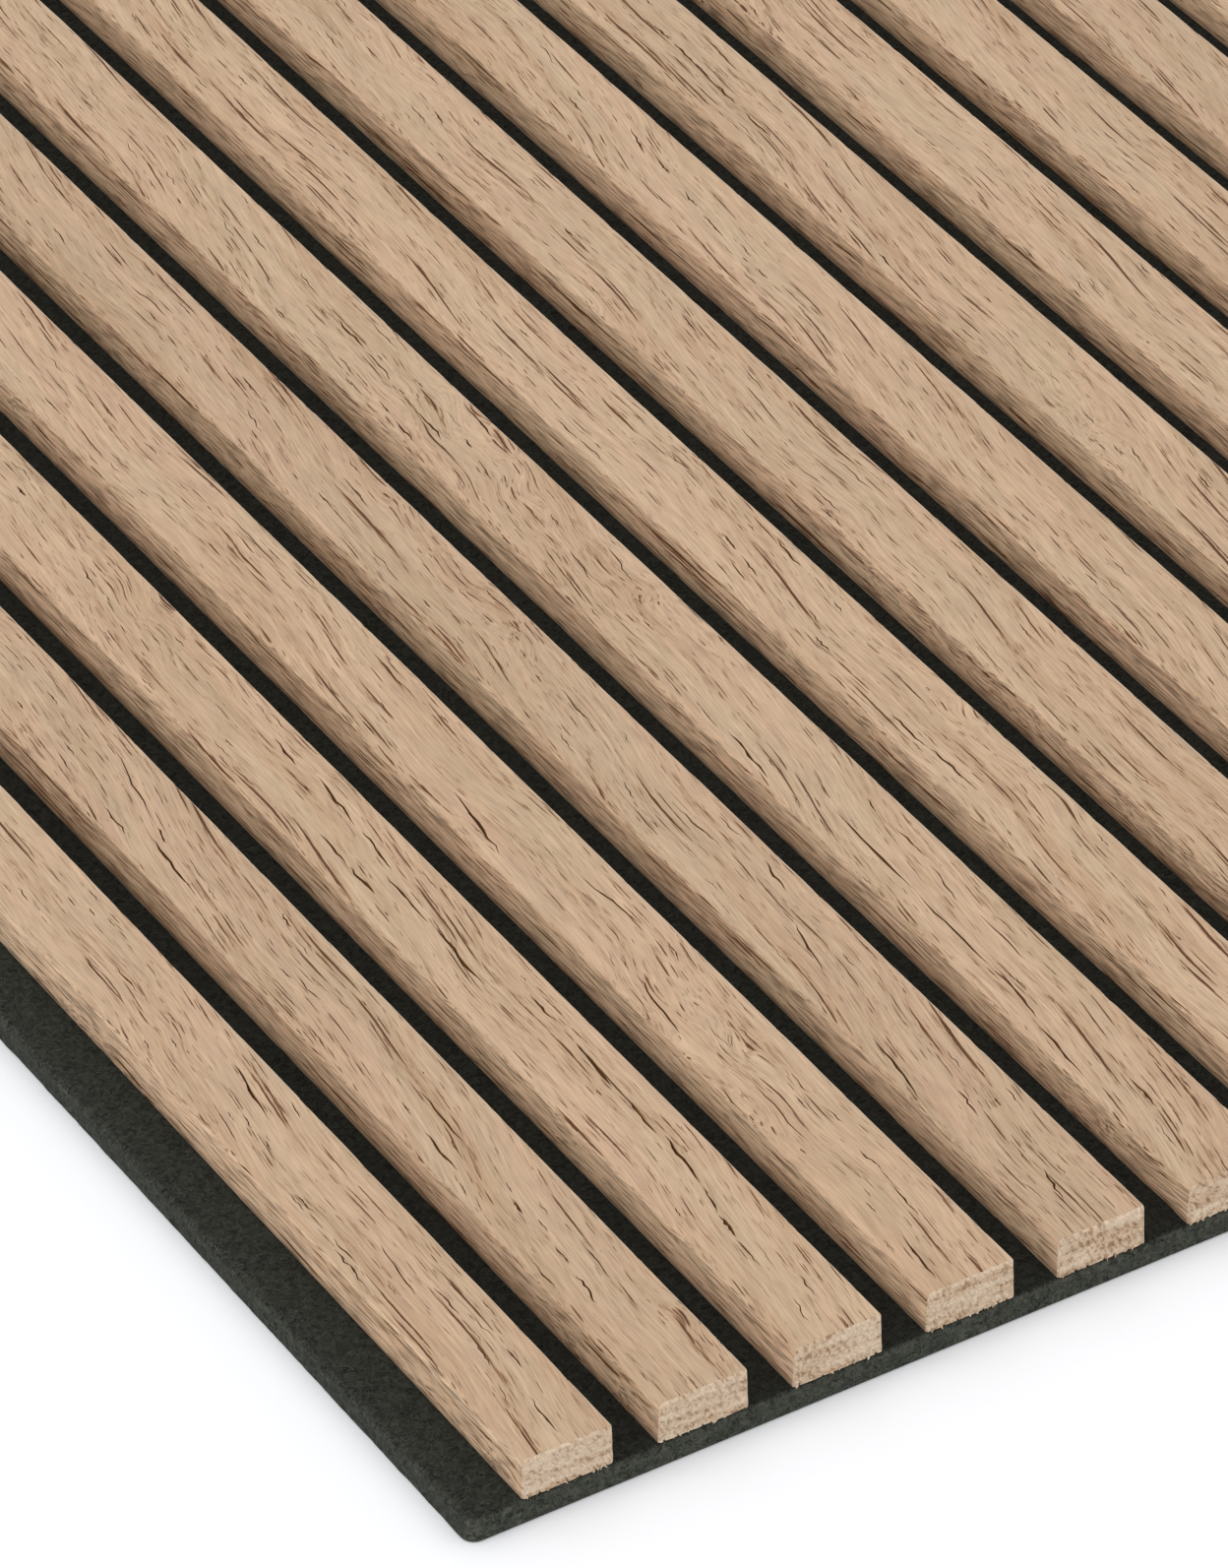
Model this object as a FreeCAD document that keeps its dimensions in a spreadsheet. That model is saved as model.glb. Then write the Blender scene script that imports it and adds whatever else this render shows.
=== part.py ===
import FreeCAD, Part
import Sketcher
import os

# Acoustic slat wall panel: solid oak slats stapled from behind to a felt board.
# The panel lies on its back. X runs across the slats, Y along them and Z out of the wall.
# The origin is the middle of the felt's back face. Lengths are in millimetres.

# Driving dimensions: every size that can be set by itself, written once
DIMENSIONS = {
    "panel_length": 2400,
    "slat_count": 15,
    "slat_width": 27,
    "slat_height": 12,
    "slat_gap": 13,
    "slat_ease": 1,
    "felt_thickness": 7.5,
    "felt_lip": 16.5,
    "felt_corner": 2.5,
    "felt_face_round": 1.2,
    "felt_back_round": 0.8,
    "staple_rows": 7,
    "staple_end": 60,
    "staple_crown": 12.8,
    "staple_height": 12,
    "staple_sink": 0.6,
    "staple_bend": 0.5,
    "staple_point": 0.9,
    "wire_width": 0.95,
    "wire_thickness": 0.65,
    "slot_clearance": 0.05,
}

# Sizes that follow from the driving ones, as expressions over the sheet
SLAT_PITCH = "(dims.slat_width + dims.slat_gap)"
PANEL_WIDTH = f"(dims.felt_lip + dims.slat_count * {SLAT_PITCH} - dims.slat_gap)"
FIRST_SLAT_X = f"(-{PANEL_WIDTH} / 2 + dims.felt_lip + dims.slat_width / 2)"
FIRST_ROW_Y = "(-dims.panel_length / 2 + dims.staple_end)"
SLAT_SPREAD = f"((dims.slat_count - 1) * {SLAT_PITCH})"
ROW_SPREAD = "(dims.panel_length - 2 * dims.staple_end)"
LEG_REACH = "(dims.staple_sink + dims.staple_height - dims.felt_thickness + dims.slot_clearance)"
CROWN_DEPTH = "(dims.staple_sink + dims.wire_thickness)"
SLOT_WIDTH = "(dims.wire_width + 2 * dims.slot_clearance)"
LEG_SLOT = "(dims.wire_thickness + 2 * dims.slot_clearance)"
LEG_SPAN = "(dims.staple_crown + 2 * dims.slot_clearance)"

# A sketch's own level axis, upright axis and origin, as its constraints name them
SKETCH_LEVEL = -1
SKETCH_UPRIGHT = -2
SKETCH_ORIGIN = (-1, 1)
CLOSE = 1e-6


def make_sheet(doc):
    sheet = doc.addObject("Spreadsheet::Sheet", "dims")
    for row, (alias, value) in enumerate(DIMENSIONS.items(), start=1):
        sheet.set(f"A{row}", alias)
        sheet.set(f"B{row}", str(value))
        sheet.setAlias(f"B{row}", alias)
    doc.recompute()
    return sheet


def make_body(doc, label):
    body = doc.addObject("PartDesign::Body", label)
    body.Label = label
    return body


def origin_item(body, role):
    return next(item for item in body.Origin.OriginFeatures if item.Role == role)


def place(item, path, x="0", y="0", z="0"):
    """Ties the three coordinates of a placement to expressions."""
    for axis, expression in zip("xyz", (x, y, z)):
        item.setExpression(f"{path}.Base.{axis}", expression)


def sketch_on(body, name, plane, **offset):
    sketch = body.newObject("Sketcher::SketchObject", name)
    sketch.AttachmentSupport = [(origin_item(body, plane), "")]
    sketch.MapMode = "FlatFace"
    place(sketch, "AttachmentOffset", **offset)
    return sketch


def tie(sketch, constraint, name, expression):
    """Adds a dimension with a name of its own and ties it to an expression."""
    index = sketch.addConstraint(constraint)
    sketch.renameConstraint(index, name)
    sketch.setExpression(f"Constraints.{name}", expression)


def draw_loop(sketch, corners):
    """Straight lines through the corners, closed. Returns the number of the first line."""
    points = [FreeCAD.Vector(x, y, 0) for x, y in corners]
    first = sketch.GeometryCount
    for start, end in zip(points, points[1:] + points[:1]):
        sketch.addGeometry(Part.LineSegment(start, end), False)
    for step in range(len(points)):
        following = first + (step + 1) % len(points)
        sketch.addConstraint(Sketcher.Constraint("Coincident", first + step, 2, following, 1))
    return first


def draw_rectangle(sketch, name, corners, width, height):
    """A rectangle with tied sides, still free to move. Returns the number of its lower line."""
    low, right, top, left = range(4)
    first = draw_loop(sketch, corners)
    for line in (low, top):
        sketch.addConstraint(Sketcher.Constraint("Horizontal", first + line))
    for line in (right, left):
        sketch.addConstraint(Sketcher.Constraint("Vertical", first + line))
    tie(sketch, Sketcher.Constraint("DistanceX", first, 1, first, 2, 1), f"{name}_width", width)
    tie(sketch, Sketcher.Constraint("DistanceY", first + right, 1, first + right, 2, 1),
        f"{name}_height", height)
    return first


def draw_centred_rectangle(sketch, name, width, height):
    first = draw_rectangle(sketch, name, [(-1, -1), (1, -1), (1, 1), (-1, 1)], width, height)
    sketch.addConstraint(Sketcher.Constraint("Symmetric", first, 1, first + 2, 1, *SKETCH_ORIGIN))


def draw_leg_pair(sketch):
    """The two small openings that a staple's legs pass through, either side of its middle."""
    left = draw_rectangle(sketch, "left_leg", [(-3, -1), (-2, -1), (-2, 1), (-3, 1)],
                          LEG_SLOT, SLOT_WIDTH)
    right = draw_rectangle(sketch, "right_leg", [(2, -1), (3, -1), (3, 1), (2, 1)],
                           LEG_SLOT, SLOT_WIDTH)
    sketch.addConstraint(Sketcher.Constraint("Symmetric", left, 1, right + 2, 1, *SKETCH_ORIGIN))
    sketch.addConstraint(Sketcher.Constraint("Horizontal", left, 1, right, 1))
    tie(sketch, Sketcher.Constraint("DistanceX", left, 1, right, 2, 1), "leg_span", LEG_SPAN)


def pad_through(body, sketch, name, length):
    """A pad that grows the same way to both sides of its sketch."""
    pad = body.newObject("PartDesign::Pad", name)
    pad.Profile = sketch
    pad.SideType = "Symmetric"
    pad.setExpression("Length", length)
    return pad


def pocket_upwards(body, sketch, name, depth):
    """A pocket cut from the back towards the room, with its volume compared."""
    body.Document.recompute()
    before = body.Shape.Volume
    pocket = body.newObject("PartDesign::Pocket", name)
    pocket.Profile = sketch
    pocket.Reversed = True
    pocket.setExpression("Length", depth)
    body.Document.recompute()
    if body.Shape.Volume >= before:
        raise RuntimeError(f"{name} cuts nothing from {body.Label}")
    return pocket


def round_edges(body, base, name, radius, wanted):
    body.Document.recompute()
    edges = [f"Edge{i}" for i, edge in enumerate(base.Shape.Edges, start=1) if wanted(edge)]
    fillet = body.newObject("PartDesign::Fillet", name)
    fillet.Base = (base, edges)
    fillet.setExpression("Radius", radius)
    return fillet


def repeat(body, features, name, *directions):
    """Copies features along one axis or two, each given as (axis, count, spread)."""
    pattern = body.newObject("PartDesign::LinearPattern", name)
    pattern.Originals = features
    for suffix, (axis, count, spread) in zip(("", "2"), directions):
        setattr(pattern, f"Direction{suffix}", (origin_item(body, axis), [""]))
        setattr(pattern, f"Mode{suffix}", "Extent")
        pattern.setExpression(f"Occurrences{suffix}", count)
        pattern.setExpression(f"Length{suffix}", spread)
    body.Tip = pattern


SLATS_ACROSS = ("X_Axis", "dims.slat_count", SLAT_SPREAD)
ROWS_ALONG = ("Y_Axis", "dims.staple_rows", ROW_SPREAD)


def at_height(edge, height):
    return all(abs(vertex.Z - height) < CLOSE for vertex in edge.Vertexes)


def runs_along(edge, axis):
    straight = edge.Curve.TypeId == "Part::GeomLine"
    return straight and abs(abs(edge.tangentAt(0).dot(axis)) - 1) < CLOSE


def make_felt(doc, sheet):
    """One felt board under all the slats, with a lip past the first slat and its far side flush."""
    body = make_body(doc, "felt_backing")
    outline = sketch_on(body, "felt_outline", "XY_Plane")
    draw_centred_rectangle(outline, "felt", PANEL_WIDTH, "dims.panel_length")
    board = body.newObject("PartDesign::Pad", "felt_board")
    board.Profile = outline
    board.setExpression("Length", "dims.felt_thickness")
    upright = FreeCAD.Vector(0, 0, 1)
    corners = round_edges(body, board, "felt_corners", "dims.felt_corner",
                          lambda edge: runs_along(edge, upright))
    face = round_edges(body, corners, "felt_face_edge", "dims.felt_face_round",
                       lambda edge: at_height(edge, sheet.felt_thickness))
    round_edges(body, face, "felt_back_edge", "dims.felt_back_round", lambda edge: at_height(edge, 0))

    first_staple = {"x": FIRST_SLAT_X, "y": FIRST_ROW_Y}
    crown = sketch_on(body, "crown_outline", "XY_Plane", **first_staple)
    draw_centred_rectangle(crown, "crown", LEG_SPAN, SLOT_WIDTH)
    crown_recess = pocket_upwards(body, crown, "crown_recess", CROWN_DEPTH)
    legs = sketch_on(body, "leg_outline", "XY_Plane", **first_staple)
    draw_leg_pair(legs)
    leg_slots = pocket_upwards(body, legs, "leg_slots", "dims.felt_thickness")
    repeat(body, [crown_recess, leg_slots], "staple_slots", SLATS_ACROSS, ROWS_ALONG)
    return body


def make_slat(doc, sheet, number):
    """A solid oak slat with eased room-side edges and blind sockets for the staple legs."""
    body = make_body(doc, f"slat_{number:02d}")
    profile = sketch_on(body, f"profile_{number:02d}", "XZ_Plane")
    base = draw_rectangle(profile, "slat", [(-1, 0), (1, 0), (1, 1), (-1, 1)],
                          "dims.slat_width", "dims.slat_height")
    profile.addConstraint(Sketcher.Constraint("Symmetric", base, 1, base, 2, *SKETCH_ORIGIN))
    bar = pad_through(body, profile, f"bar_{number:02d}", "dims.panel_length")
    along = FreeCAD.Vector(0, 1, 0)
    round_edges(body, bar, f"eased_{number:02d}", "dims.slat_ease",
                lambda edge: at_height(edge, sheet.slat_height) and runs_along(edge, along))
    legs = sketch_on(body, f"leg_outline_{number:02d}", "XY_Plane", y=FIRST_ROW_Y)
    draw_leg_pair(legs)
    sockets = pocket_upwards(body, legs, f"leg_sockets_{number:02d}", LEG_REACH)
    repeat(body, [sockets], f"socket_row_{number:02d}", ROWS_ALONG)
    place(body, "Placement", x=f"{FIRST_SLAT_X} + {number - 1} * {SLAT_PITCH}", z="dims.felt_thickness")
    return body


def draw_staple(sketch):
    """A staple seen along the slat: crown below, bent corners and two legs with chisel points."""
    crown, right_bend, right_leg, right_point, right_inside = range(5)
    inside, left_inside, left_point, left_leg, left_bend = range(5, 10)
    draw_loop(sketch, [(-5, 0), (5, 0), (6, 1), (6, 10), (5, 11),
                       (5, 2), (-5, 2), (-5, 11), (-6, 10), (-6, 1)])
    for line in (right_leg, right_inside):
        sketch.addConstraint(Sketcher.Constraint("Vertical", line))
    for one, other in ((crown, right_bend), (left_bend, right_leg), (left_leg, right_point),
                       (left_point, right_inside), (left_inside, inside)):
        sketch.addConstraint(Sketcher.Constraint("Symmetric", one, 1, other, 1, SKETCH_UPRIGHT))
    sketch.addConstraint(Sketcher.Constraint("PointOnObject", crown, 1, SKETCH_LEVEL))
    spans = (
        ("crown_span", "DistanceX", (left_bend, 1), (right_leg, 1), "dims.staple_crown"),
        ("bend_across", "DistanceX", (right_bend, 1), (right_bend, 2), "dims.staple_bend"),
        ("bend_up", "DistanceY", (right_bend, 1), (right_bend, 2), "dims.staple_bend"),
        ("leg_wire", "DistanceX", (right_inside, 1), (right_leg, 2), "dims.wire_thickness"),
        ("crown_wire", "DistanceY", (crown, 2), (right_inside, 2), "dims.wire_thickness"),
        ("chisel", "DistanceY", (right_leg, 2), (right_inside, 1), "dims.staple_point"),
        ("full_height", "DistanceY", (crown, 2), (right_inside, 1), "dims.staple_height"),
    )
    for name, kind, start, end, expression in spans:
        tie(sketch, Sketcher.Constraint(kind, *start, *end, 1), name, expression)


def make_staples(doc):
    """All the staples as one group: each crown sits in the felt's back, its legs end in a slat."""
    body = make_body(doc, "staples")
    body.AllowCompound = True
    profile = sketch_on(body, "staple_profile", "XZ_Plane")
    draw_staple(profile)
    wire = pad_through(body, profile, "staple_wire", "dims.wire_width")
    doc.recompute()
    repeat(body, [wire], "staple_grid", SLATS_ACROSS, ROWS_ALONG)
    place(body, "Placement", x=FIRST_SLAT_X, y=FIRST_ROW_Y, z="dims.staple_sink")
    return body


def check(doc, bodies, solids_wanted):
    """Stops before anything is written if an object failed or a piece isn't whole."""
    for item in doc.Objects:
        if "Invalid" in item.State or "Error" in item.State:
            raise RuntimeError(f"{item.Label} failed: {item.State}")
        if item.isDerivedFrom("Sketcher::SketchObject") and not item.FullyConstrained:
            raise RuntimeError(f"{item.Label} is not fully constrained")
    for body in bodies:
        if body.Shape.isNull() or not body.Shape.isValid():
            raise RuntimeError(f"{body.Label} has no valid shape")
        found, wanted = len(body.Shape.Solids), solids_wanted.get(body.Label, 1)
        if found != wanted:
            raise RuntimeError(f"{body.Label} has {found} solids, not {wanted}")


def write_parts(bodies):
    os.makedirs("parts", exist_ok=True)
    for body in bodies:
        body.Shape.exportStep(f"parts/{body.Label}.step")
        box = body.Shape.optimalBoundingBox()
        print(f"{body.Label}: {box.XLength:.2f} x {box.YLength:.2f} x {box.ZLength:.2f} mm,"
              f" volume {body.Shape.Volume:.1f} mm3")


def main():
    doc = FreeCAD.newDocument("acoustic_slat_panel")
    sheet = make_sheet(doc)
    slat_count = int(sheet.slat_count)
    bodies = [make_felt(doc, sheet)]
    bodies += [make_slat(doc, sheet, number) for number in range(1, slat_count + 1)]
    bodies.append(make_staples(doc))
    doc.recompute()
    check(doc, bodies, {"staples": slat_count * int(sheet.staple_rows)})
    write_parts(bodies)


main()
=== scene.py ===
# %% [markdown]
# # An acoustic slat wall panel
# The real panel is fifteen solid oak slats stapled to one board of charcoal felt. The CAD model holds the
# exact solids and this file gives them their looks. The frame is loaded first, because every piece made
# here takes its size and place from a CAD node, in metres and in the same axes: X across the slats, Y
# along them, Z out of the wall.

# %% load the frame
import itertools
import math

import bmesh
import bpy
import numpy as np
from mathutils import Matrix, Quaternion, Vector, noise


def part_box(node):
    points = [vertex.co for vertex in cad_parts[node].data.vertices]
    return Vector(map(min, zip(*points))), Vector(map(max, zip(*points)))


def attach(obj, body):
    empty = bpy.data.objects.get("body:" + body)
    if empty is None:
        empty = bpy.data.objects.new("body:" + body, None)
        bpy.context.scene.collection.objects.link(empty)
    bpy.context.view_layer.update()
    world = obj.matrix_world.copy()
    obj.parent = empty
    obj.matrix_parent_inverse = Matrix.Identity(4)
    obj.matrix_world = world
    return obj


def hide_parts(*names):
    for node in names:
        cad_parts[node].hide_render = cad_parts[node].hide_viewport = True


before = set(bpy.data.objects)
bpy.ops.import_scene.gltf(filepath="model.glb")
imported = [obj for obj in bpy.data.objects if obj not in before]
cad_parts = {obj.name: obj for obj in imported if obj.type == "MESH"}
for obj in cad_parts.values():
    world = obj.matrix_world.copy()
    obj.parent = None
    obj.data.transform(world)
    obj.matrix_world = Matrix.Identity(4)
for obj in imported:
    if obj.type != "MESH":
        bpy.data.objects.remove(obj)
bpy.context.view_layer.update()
MM = 0.001
SLATS = sorted(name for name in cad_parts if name.startswith("slat_"))
print("slats in the frame:", len(SLATS))

# %% [markdown]
# ## The camera
# The photograph was taken with a long lens from the near left corner. A camera was fitted to the edges of
# the slats, which gives its direction, its tilt to one side and its distance. The lens is given for
# Blender's usual 36 mm sensor on the long side of the 1248 by 1593 picture. Nothing here reads the render
# size.

# %% camera
AIM = Vector((-118.63, -967.88, 19.5)) * MM
DISTANCE = 2910.9 * MM
AZIMUTH, ELEVATION, ROLL = (math.radians(a) for a in (-29.679, 36.534, -2.265))
towards_camera = Vector((
    math.sin(AZIMUTH) * math.cos(ELEVATION),
    -math.cos(AZIMUTH) * math.cos(ELEVATION),
    math.sin(ELEVATION),
))
lens = bpy.data.cameras.new("camera")
lens.sensor_width = 36.0
lens.lens = 246.13
lens.clip_end = 200.0
camera = bpy.data.objects.new("camera", lens)
bpy.context.collection.objects.link(camera)
camera.location = AIM + towards_camera * DISTANCE
camera.rotation_mode = "QUATERNION"
camera.rotation_quaternion = towards_camera.to_track_quat("Z", "Y") @ Quaternion((0, 0, 1), ROLL)
bpy.context.scene.camera = camera
print("camera at", [round(v, 3) for v in camera.location])

# %% [markdown]
# ## Colour and nodes
# Colours are written as sRGB hex codes, as a paint program shows them, and one function turns them into
# the linear numbers that Blender reckons with. One small function adds a node, sets it and links it, so
# that a material reads as a list of steps. Pattern sizes are given in millimetres.

# %% colour and node helpers
def colour(code):
    """The linear colour of an sRGB hex code."""
    parts = [int(code[i:i + 2], 16) / 255 for i in (1, 3, 5)]
    return [p / 12.92 if p <= 0.04045 else ((p + 0.055) / 1.055) ** 2.4 for p in parts] + [1.0]


def add(tree, kind, inputs=(), **settings):
    """Adds a node. Inputs are values or sockets to link, in the node's own order or by name."""
    made = tree.nodes.new("ShaderNode" + kind)
    for name, value in settings.items():
        setattr(made, name, value)
    named = inputs if isinstance(inputs, dict) else dict(enumerate(inputs))
    for name, value in named.items():
        if isinstance(value, bpy.types.NodeSocket):
            tree.links.new(value, made.inputs[name])
        else:
            made.inputs[name].default_value = value
    return made


def per_mm(x, y, z):
    """The Mapping scale that makes one unit of a pattern that many millimetres long."""
    return (1 / (x * MM), 1 / (y * MM), 1 / (z * MM))


def new_material(name):
    """An empty node material with its output and Principled shader."""
    material = bpy.data.materials.new(name)
    material.use_nodes = True
    tree = material.node_tree
    return material, tree, tree.nodes["Principled BSDF"]


print("helpers ready:", colour.__name__, add.__name__, per_mm.__name__)

# %% [markdown]
# ## Stage: floor and light
# The panel lies on a white studio table under a large soft light from all round, which is why its shadows
# are faint and close to it. A white world does that, with one broad lamp from the left, which reaches the
# upper part of each slat's left side and leaves its foot in shadow. The floor adds a small glow for the
# camera only, so it looks white and still shows the shadow.

# %% floor
FLOOR_HALF = 60.0
FLOOR_DROP = 0.2 * MM
FLOOR_GLOW = 0.14
bpy.ops.object.select_all(action="DESELECT")
bpy.ops.mesh.primitive_plane_add(size=2 * FLOOR_HALF, location=(0, 0, -FLOOR_DROP))
floor = bpy.context.object
floor.name = "floor"
paint, tree, shader = new_material("white_table_paint")
seen = add(tree, "LightPath")
shader.inputs["Base Color"].default_value = colour("#f2f3f6")
shader.inputs["Roughness"].default_value = 0.9
shader.inputs["Specular IOR Level"].default_value = 0.1
shader.inputs["Emission Color"].default_value = (1, 1, 1, 1)
glow = add(tree, "Math", (seen.outputs["Is Camera Ray"], FLOOR_GLOW), operation="MULTIPLY")
tree.links.new(glow.outputs[0], shader.inputs["Emission Strength"])
floor.data.materials.append(paint)
print("floor:", paint.name)

# %% sky
SKY_LEVEL = 0.88
world = bpy.data.worlds.new("studio")
bpy.context.scene.world = world
world.use_nodes = True
tree = world.node_tree
tree.nodes.clear()
seen = add(tree, "LightPath")
shown = add(
    tree, "Math", (seen.outputs["Is Camera Ray"], seen.outputs["Is Glossy Ray"]), operation="MAXIMUM"
)
shown = add(tree, "Math", (shown.outputs[0], seen.outputs["Is Transmission Ray"]), operation="MAXIMUM")
level = add(tree, "MapRange", (shown.outputs[0], 0.0, 1.0, SKY_LEVEL, 1.0))
sky = add(tree, "Background", {"Color": (1, 1, 1, 1), "Strength": level.outputs["Result"]})
add(tree, "OutputWorld", {"Surface": sky.outputs["Background"]})
print("sky level:", SKY_LEVEL)

# %% key lamp and colours as written
KEY_LEVEL = 0.62
KEY_SPREAD = math.radians(28)
KEY_FROM = Vector((-0.78, 0.06, 0.62))
lamp = bpy.data.lights.new("soft_key", "SUN")
lamp.energy = KEY_LEVEL
lamp.angle = KEY_SPREAD
key = bpy.data.objects.new("soft_key", lamp)
bpy.context.collection.objects.link(key)
key.rotation_euler = KEY_FROM.to_track_quat("Z", "Y").to_euler()
view = bpy.context.scene.view_settings
view.view_transform = "Standard"
print("key level:", KEY_LEVEL, "view:", view.view_transform)

# %% [markdown]
# ## Oak
# The slats are solid white oak, sawn, planed and left without a shine. Oak gives the eye a pale warm tan
# in soft lengthwise streaks, and long thin pores that show as brown strokes. The grain is not quite
# parallel to the slat. The pattern is reckoned in space and not painted on faces, so it runs on over an
# edge and shows as dots on the sawn ends, as in a real board. Each slat gets its own place in the pattern
# from its number across the panel.

# %% oak: where each slat lies in the wood
first_low, first_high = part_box(SLATS[0])
second_low, second_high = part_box(SLATS[1])
PITCH = second_low.x - first_low.x
GAP = second_low.x - first_high.x

oak, tree, shader = new_material("planed_white_oak")
place = add(tree, "TexCoord").outputs["Object"]
face = add(tree, "NewGeometry").outputs["True Normal"]
along = add(tree, "SeparateXYZ", (place,))
count = add(tree, "Math", (along.outputs["X"], first_low.x - GAP / 2), operation="SUBTRACT")
count = add(tree, "Math", (count.outputs[0], PITCH), operation="DIVIDE")
count = add(tree, "Math", (count.outputs[0],), operation="FLOOR")
chance = add(tree, "TexWhiteNoise", {"W": count.outputs[0]}, noise_dimensions="1D")
facing = add(tree, "SeparateXYZ", (face,))
flank = add(tree, "Math", (facing.outputs["X"],), operation="ABSOLUTE")
flank = add(tree, "MapRange", (flank.outputs[0], 0.75, 0.92))
sawn = add(tree, "Math", (facing.outputs["Y"],), operation="ABSOLUTE")
sawn = add(tree, "MapRange", (sawn.outputs[0], 0.35, 0.6))
print("oak pattern: one slat every", round(PITCH / MM, 2), "mm")

# %% [markdown]
# The line that the grain follows is a lean to the left with two slow waves on it, a little different on
# every slat. It is written once as plain numbers, so that the shader bends its pattern along it and the
# cracks that are cut further down can follow the same line.

# %% oak: the line of the grain
LEAN, LEAN_CHANGE, LEAN_STEP = 0.085, 0.035, 1.7
WAVES = ((1.8 * MM, 170 * MM, 2.4, 0.0), (0.45 * MM, 61 * MM, 4.1, 1.3))


def grain_slope(number, y):
    """How far the grain of a slat moves in X for each step in Y."""
    slope = LEAN + LEAN_CHANGE * math.sin(LEAN_STEP * number)
    for height, length, step, start in WAVES:
        turn = 2 * math.pi / length
        slope += height * turn * math.cos(turn * y + step * number + start)
    return slope


lean = add(tree, "Math", (count.outputs[0], LEAN_STEP), operation="MULTIPLY")
lean = add(tree, "Math", (lean.outputs[0],), operation="SINE")
lean = add(tree, "Math", (lean.outputs[0], LEAN_CHANGE, LEAN), operation="MULTIPLY_ADD")
offset = add(tree, "Math", (lean.outputs[0], along.outputs["Y"]), operation="MULTIPLY")
for height, length, step, start in WAVES:
    phase = add(tree, "Math", (count.outputs[0], step, start), operation="MULTIPLY_ADD")
    wave = add(
        tree,
        "Math",
        (along.outputs["Y"], 2 * math.pi / length, phase.outputs[0]),
        operation="MULTIPLY_ADD",
    )
    wave = add(tree, "Math", (wave.outputs[0],), operation="SINE")
    offset = add(tree, "Math", (wave.outputs[0], height, offset.outputs[0]), operation="MULTIPLY_ADD")
level_side = add(tree, "Math", (1.0, flank.outputs["Result"]), operation="SUBTRACT")
offset = add(tree, "Math", (offset.outputs[0], level_side.outputs[0]), operation="MULTIPLY")
followed = add(tree, "Math", (along.outputs["X"], offset.outputs[0]), operation="SUBTRACT")
board = add(
    tree, "CombineXYZ", {"X": followed.outputs[0], "Y": along.outputs["Y"], "Z": along.outputs["Z"]}
)
board = add(
    tree,
    "VectorMath",
    (chance.outputs["Color"], (7.0, 7.0, 7.0), board.outputs[0]),
    operation="MULTIPLY_ADD",
)
print("grain slope of the first slat near its front:", round(grain_slope(0, first_low.y), 3))

# %% oak: wandering and curled grain
DRIFT, CURL_ACROSS, CURL_DEEP = 1.6 * MM, 15.0 * MM, 8.0 * MM
drift_at = add(tree, "Mapping", {"Vector": board.outputs[0], "Scale": per_mm(24, 80, 24)})
drift = add(tree, "TexNoise", {"Vector": drift_at.outputs[0], "Scale": 1.0, "Detail": 2.0})
drift = add(tree, "VectorMath", (drift.outputs["Color"], (0.5, 0.5, 0.5)), operation="SUBTRACT")
curl_at = add(tree, "Mapping", {"Vector": board.outputs[0], "Scale": per_mm(15, 30, 15)})
curl = add(tree, "TexNoise", {"Vector": curl_at.outputs[0], "Scale": 1.0, "Detail": 1.0})
curl = add(tree, "VectorMath", (curl.outputs["Color"], (0.5, 0.5, 0.5)), operation="SUBTRACT")
knotty_at = add(tree, "Mapping", {"Vector": board.outputs[0], "Scale": per_mm(40, 130, 40)})
knotty = add(tree, "TexNoise", {"Vector": knotty_at.outputs[0], "Scale": 1.0, "Detail": 0.0})
knotty = add(tree, "MapRange", (knotty.outputs["Fac"], 0.63, 0.78))
curl = add(tree, "VectorMath", {0: curl.outputs[0], "Scale": knotty.outputs["Result"]}, operation="SCALE")
grain = add(
    tree,
    "VectorMath",
    (drift.outputs[0], (DRIFT, 0.0, DRIFT), board.outputs[0]),
    operation="MULTIPLY_ADD",
)
grain = add(
    tree,
    "VectorMath",
    (curl.outputs[0], (CURL_ACROSS, 0.0, CURL_DEEP), grain.outputs[0]),
    operation="MULTIPLY_ADD",
)
print("grain drifts by", round(DRIFT / MM, 1), "mm, curls by", round(CURL_ACROSS / MM, 1), "mm")

# %% oak: layers of grain, by their size in millimetres and their detail
GRAIN_LAYERS = {
    "tone": ((8, 220, 8), 3.0),
    "patch": ((11, 75, 11), 2.0),
    "crowd": ((3.4, 80, 3.4), 3.0),
    "streak": ((1.5, 60, 1.5), 3.0),
    "ridge": ((0.8, 11, 0.6), 2.0),
    "pore": ((0.45, 9, 0.45), 1.0),
    "fibre": ((0.5, 13, 0.5), 1.5),
}
layers = {}
for name, (size, detail) in GRAIN_LAYERS.items():
    at = add(tree, "Mapping", {"Vector": grain.outputs[0], "Scale": per_mm(*size)})
    made = add(tree, "TexNoise", {"Vector": at.outputs[0], "Scale": 1.0, "Detail": detail})
    layers[name] = made.outputs["Fac"]
print("oak layers:", ", ".join(layers))

# %% oak: broad tones and grey patches
# Oak has patches of a greyer tone among the pinker ones.
tone = add(tree, "ValToRGB", {"Fac": layers["tone"]})
stops = tone.color_ramp.elements
stops[0].position, stops[0].color = 0.30, colour("#c09f80")
stops[1].position, stops[1].color = 0.72, colour("#c6a488")
for position, code in ((0.42, "#c8a88a"), (0.52, "#cdae90"), (0.62, "#cbaa8d")):
    stop = stops.new(position)
    stop.color = colour(code)
patch = add(tree, "MapRange", (layers["patch"], 0.42, 0.64, 0.0, 0.36))
tone = add(
    tree, "Mix", {"Factor": patch.outputs[0], 6: tone.outputs[0], 7: colour("#c1ad8e")}, data_type="RGBA"
)
print("oak tones:", len(stops))

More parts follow.
